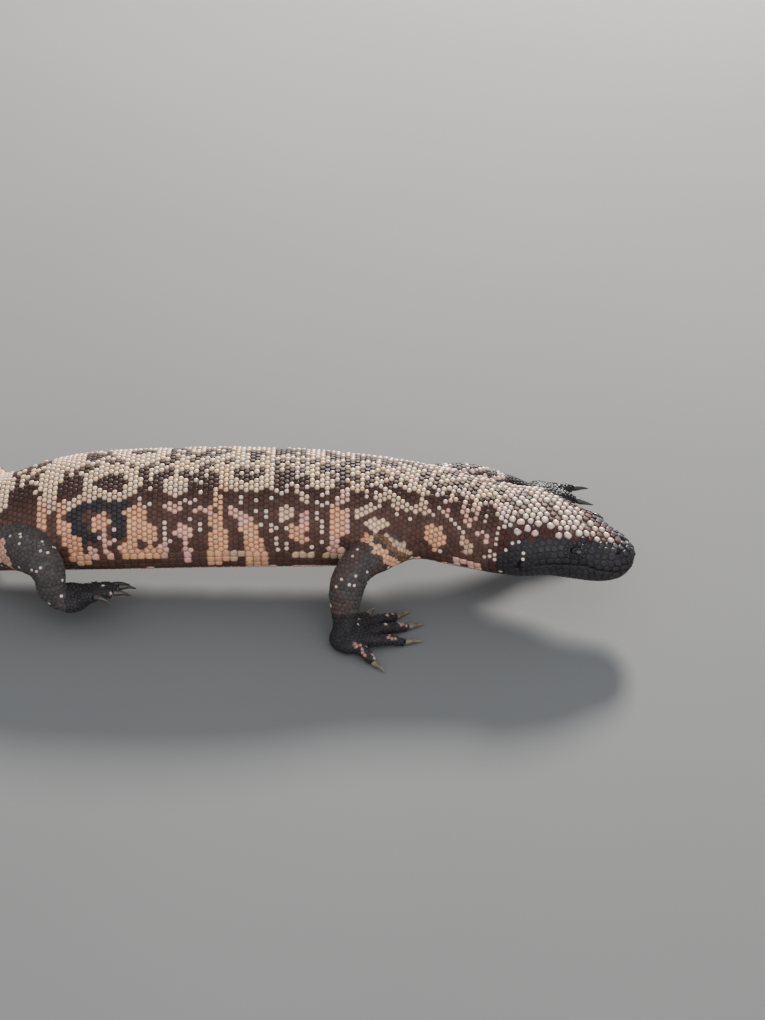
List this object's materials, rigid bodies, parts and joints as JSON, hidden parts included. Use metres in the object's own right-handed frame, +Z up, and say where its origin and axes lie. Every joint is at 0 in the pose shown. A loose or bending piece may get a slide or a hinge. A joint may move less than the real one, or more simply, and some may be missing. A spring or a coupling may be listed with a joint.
{
  "type": "gila monster",
  "caption": "Still, life-size gila monster walking with its head turned, thick tail laid on the floor, beaded black and orange skin.",
  "frame": {"origin": "middle of the box's underside, on the floor", "axes": "+X along the body to the snout, +Y to the animal's left, +Z up"},
  "size_m": [0.4578, 0.1802, 0.0654],
  "materials": {
    "beaded_skin": "satin",
    "dark_skin": "satin",
    "horn": "satin",
    "eye": "polished"
  },
  "bodies": {
    "root": {"claw_left_fore_1": "horn", "claw_left_fore_2": "horn", "claw_left_fore_3": "horn", "claw_left_fore_4": "horn", "claw_left_fore_5": "horn", "claw_left_hind_1": "horn", "claw_left_hind_2": "horn", "claw_left_hind_3": "horn", "claw_left_hind_4": "horn", "claw_left_hind_5": "horn", "claw_right_fore_1": "horn", "claw_right_fore_2": "horn", "claw_right_fore_3": "horn", "claw_right_fore_4": "horn", "claw_right_fore_5": "horn", "claw_right_hind_1": "horn", "claw_right_hind_2": "horn", "claw_right_hind_3": "horn", "claw_right_hind_4": "horn", "claw_right_hind_5": "horn", "eye_left": "eye", "eye_right": "eye", "head": "beaded_skin", "jaw": "dark_skin", "left_foot": "dark_skin", "left_fore_lower": "dark_skin", "left_fore_upper": "dark_skin", "left_hand": "dark_skin", "left_hind_lower": "dark_skin", "left_hind_upper": "dark_skin", "neck": "beaded_skin", "right_foot": "dark_skin", "right_fore_lower": "dark_skin", "right_fore_upper": "dark_skin", "right_hand": "dark_skin", "right_hind_lower": "dark_skin", "right_hind_upper": "dark_skin", "tail_base": "beaded_skin", "tail_tip": "beaded_skin", "torso": "beaded_skin"}
  },
  "joints": []
}
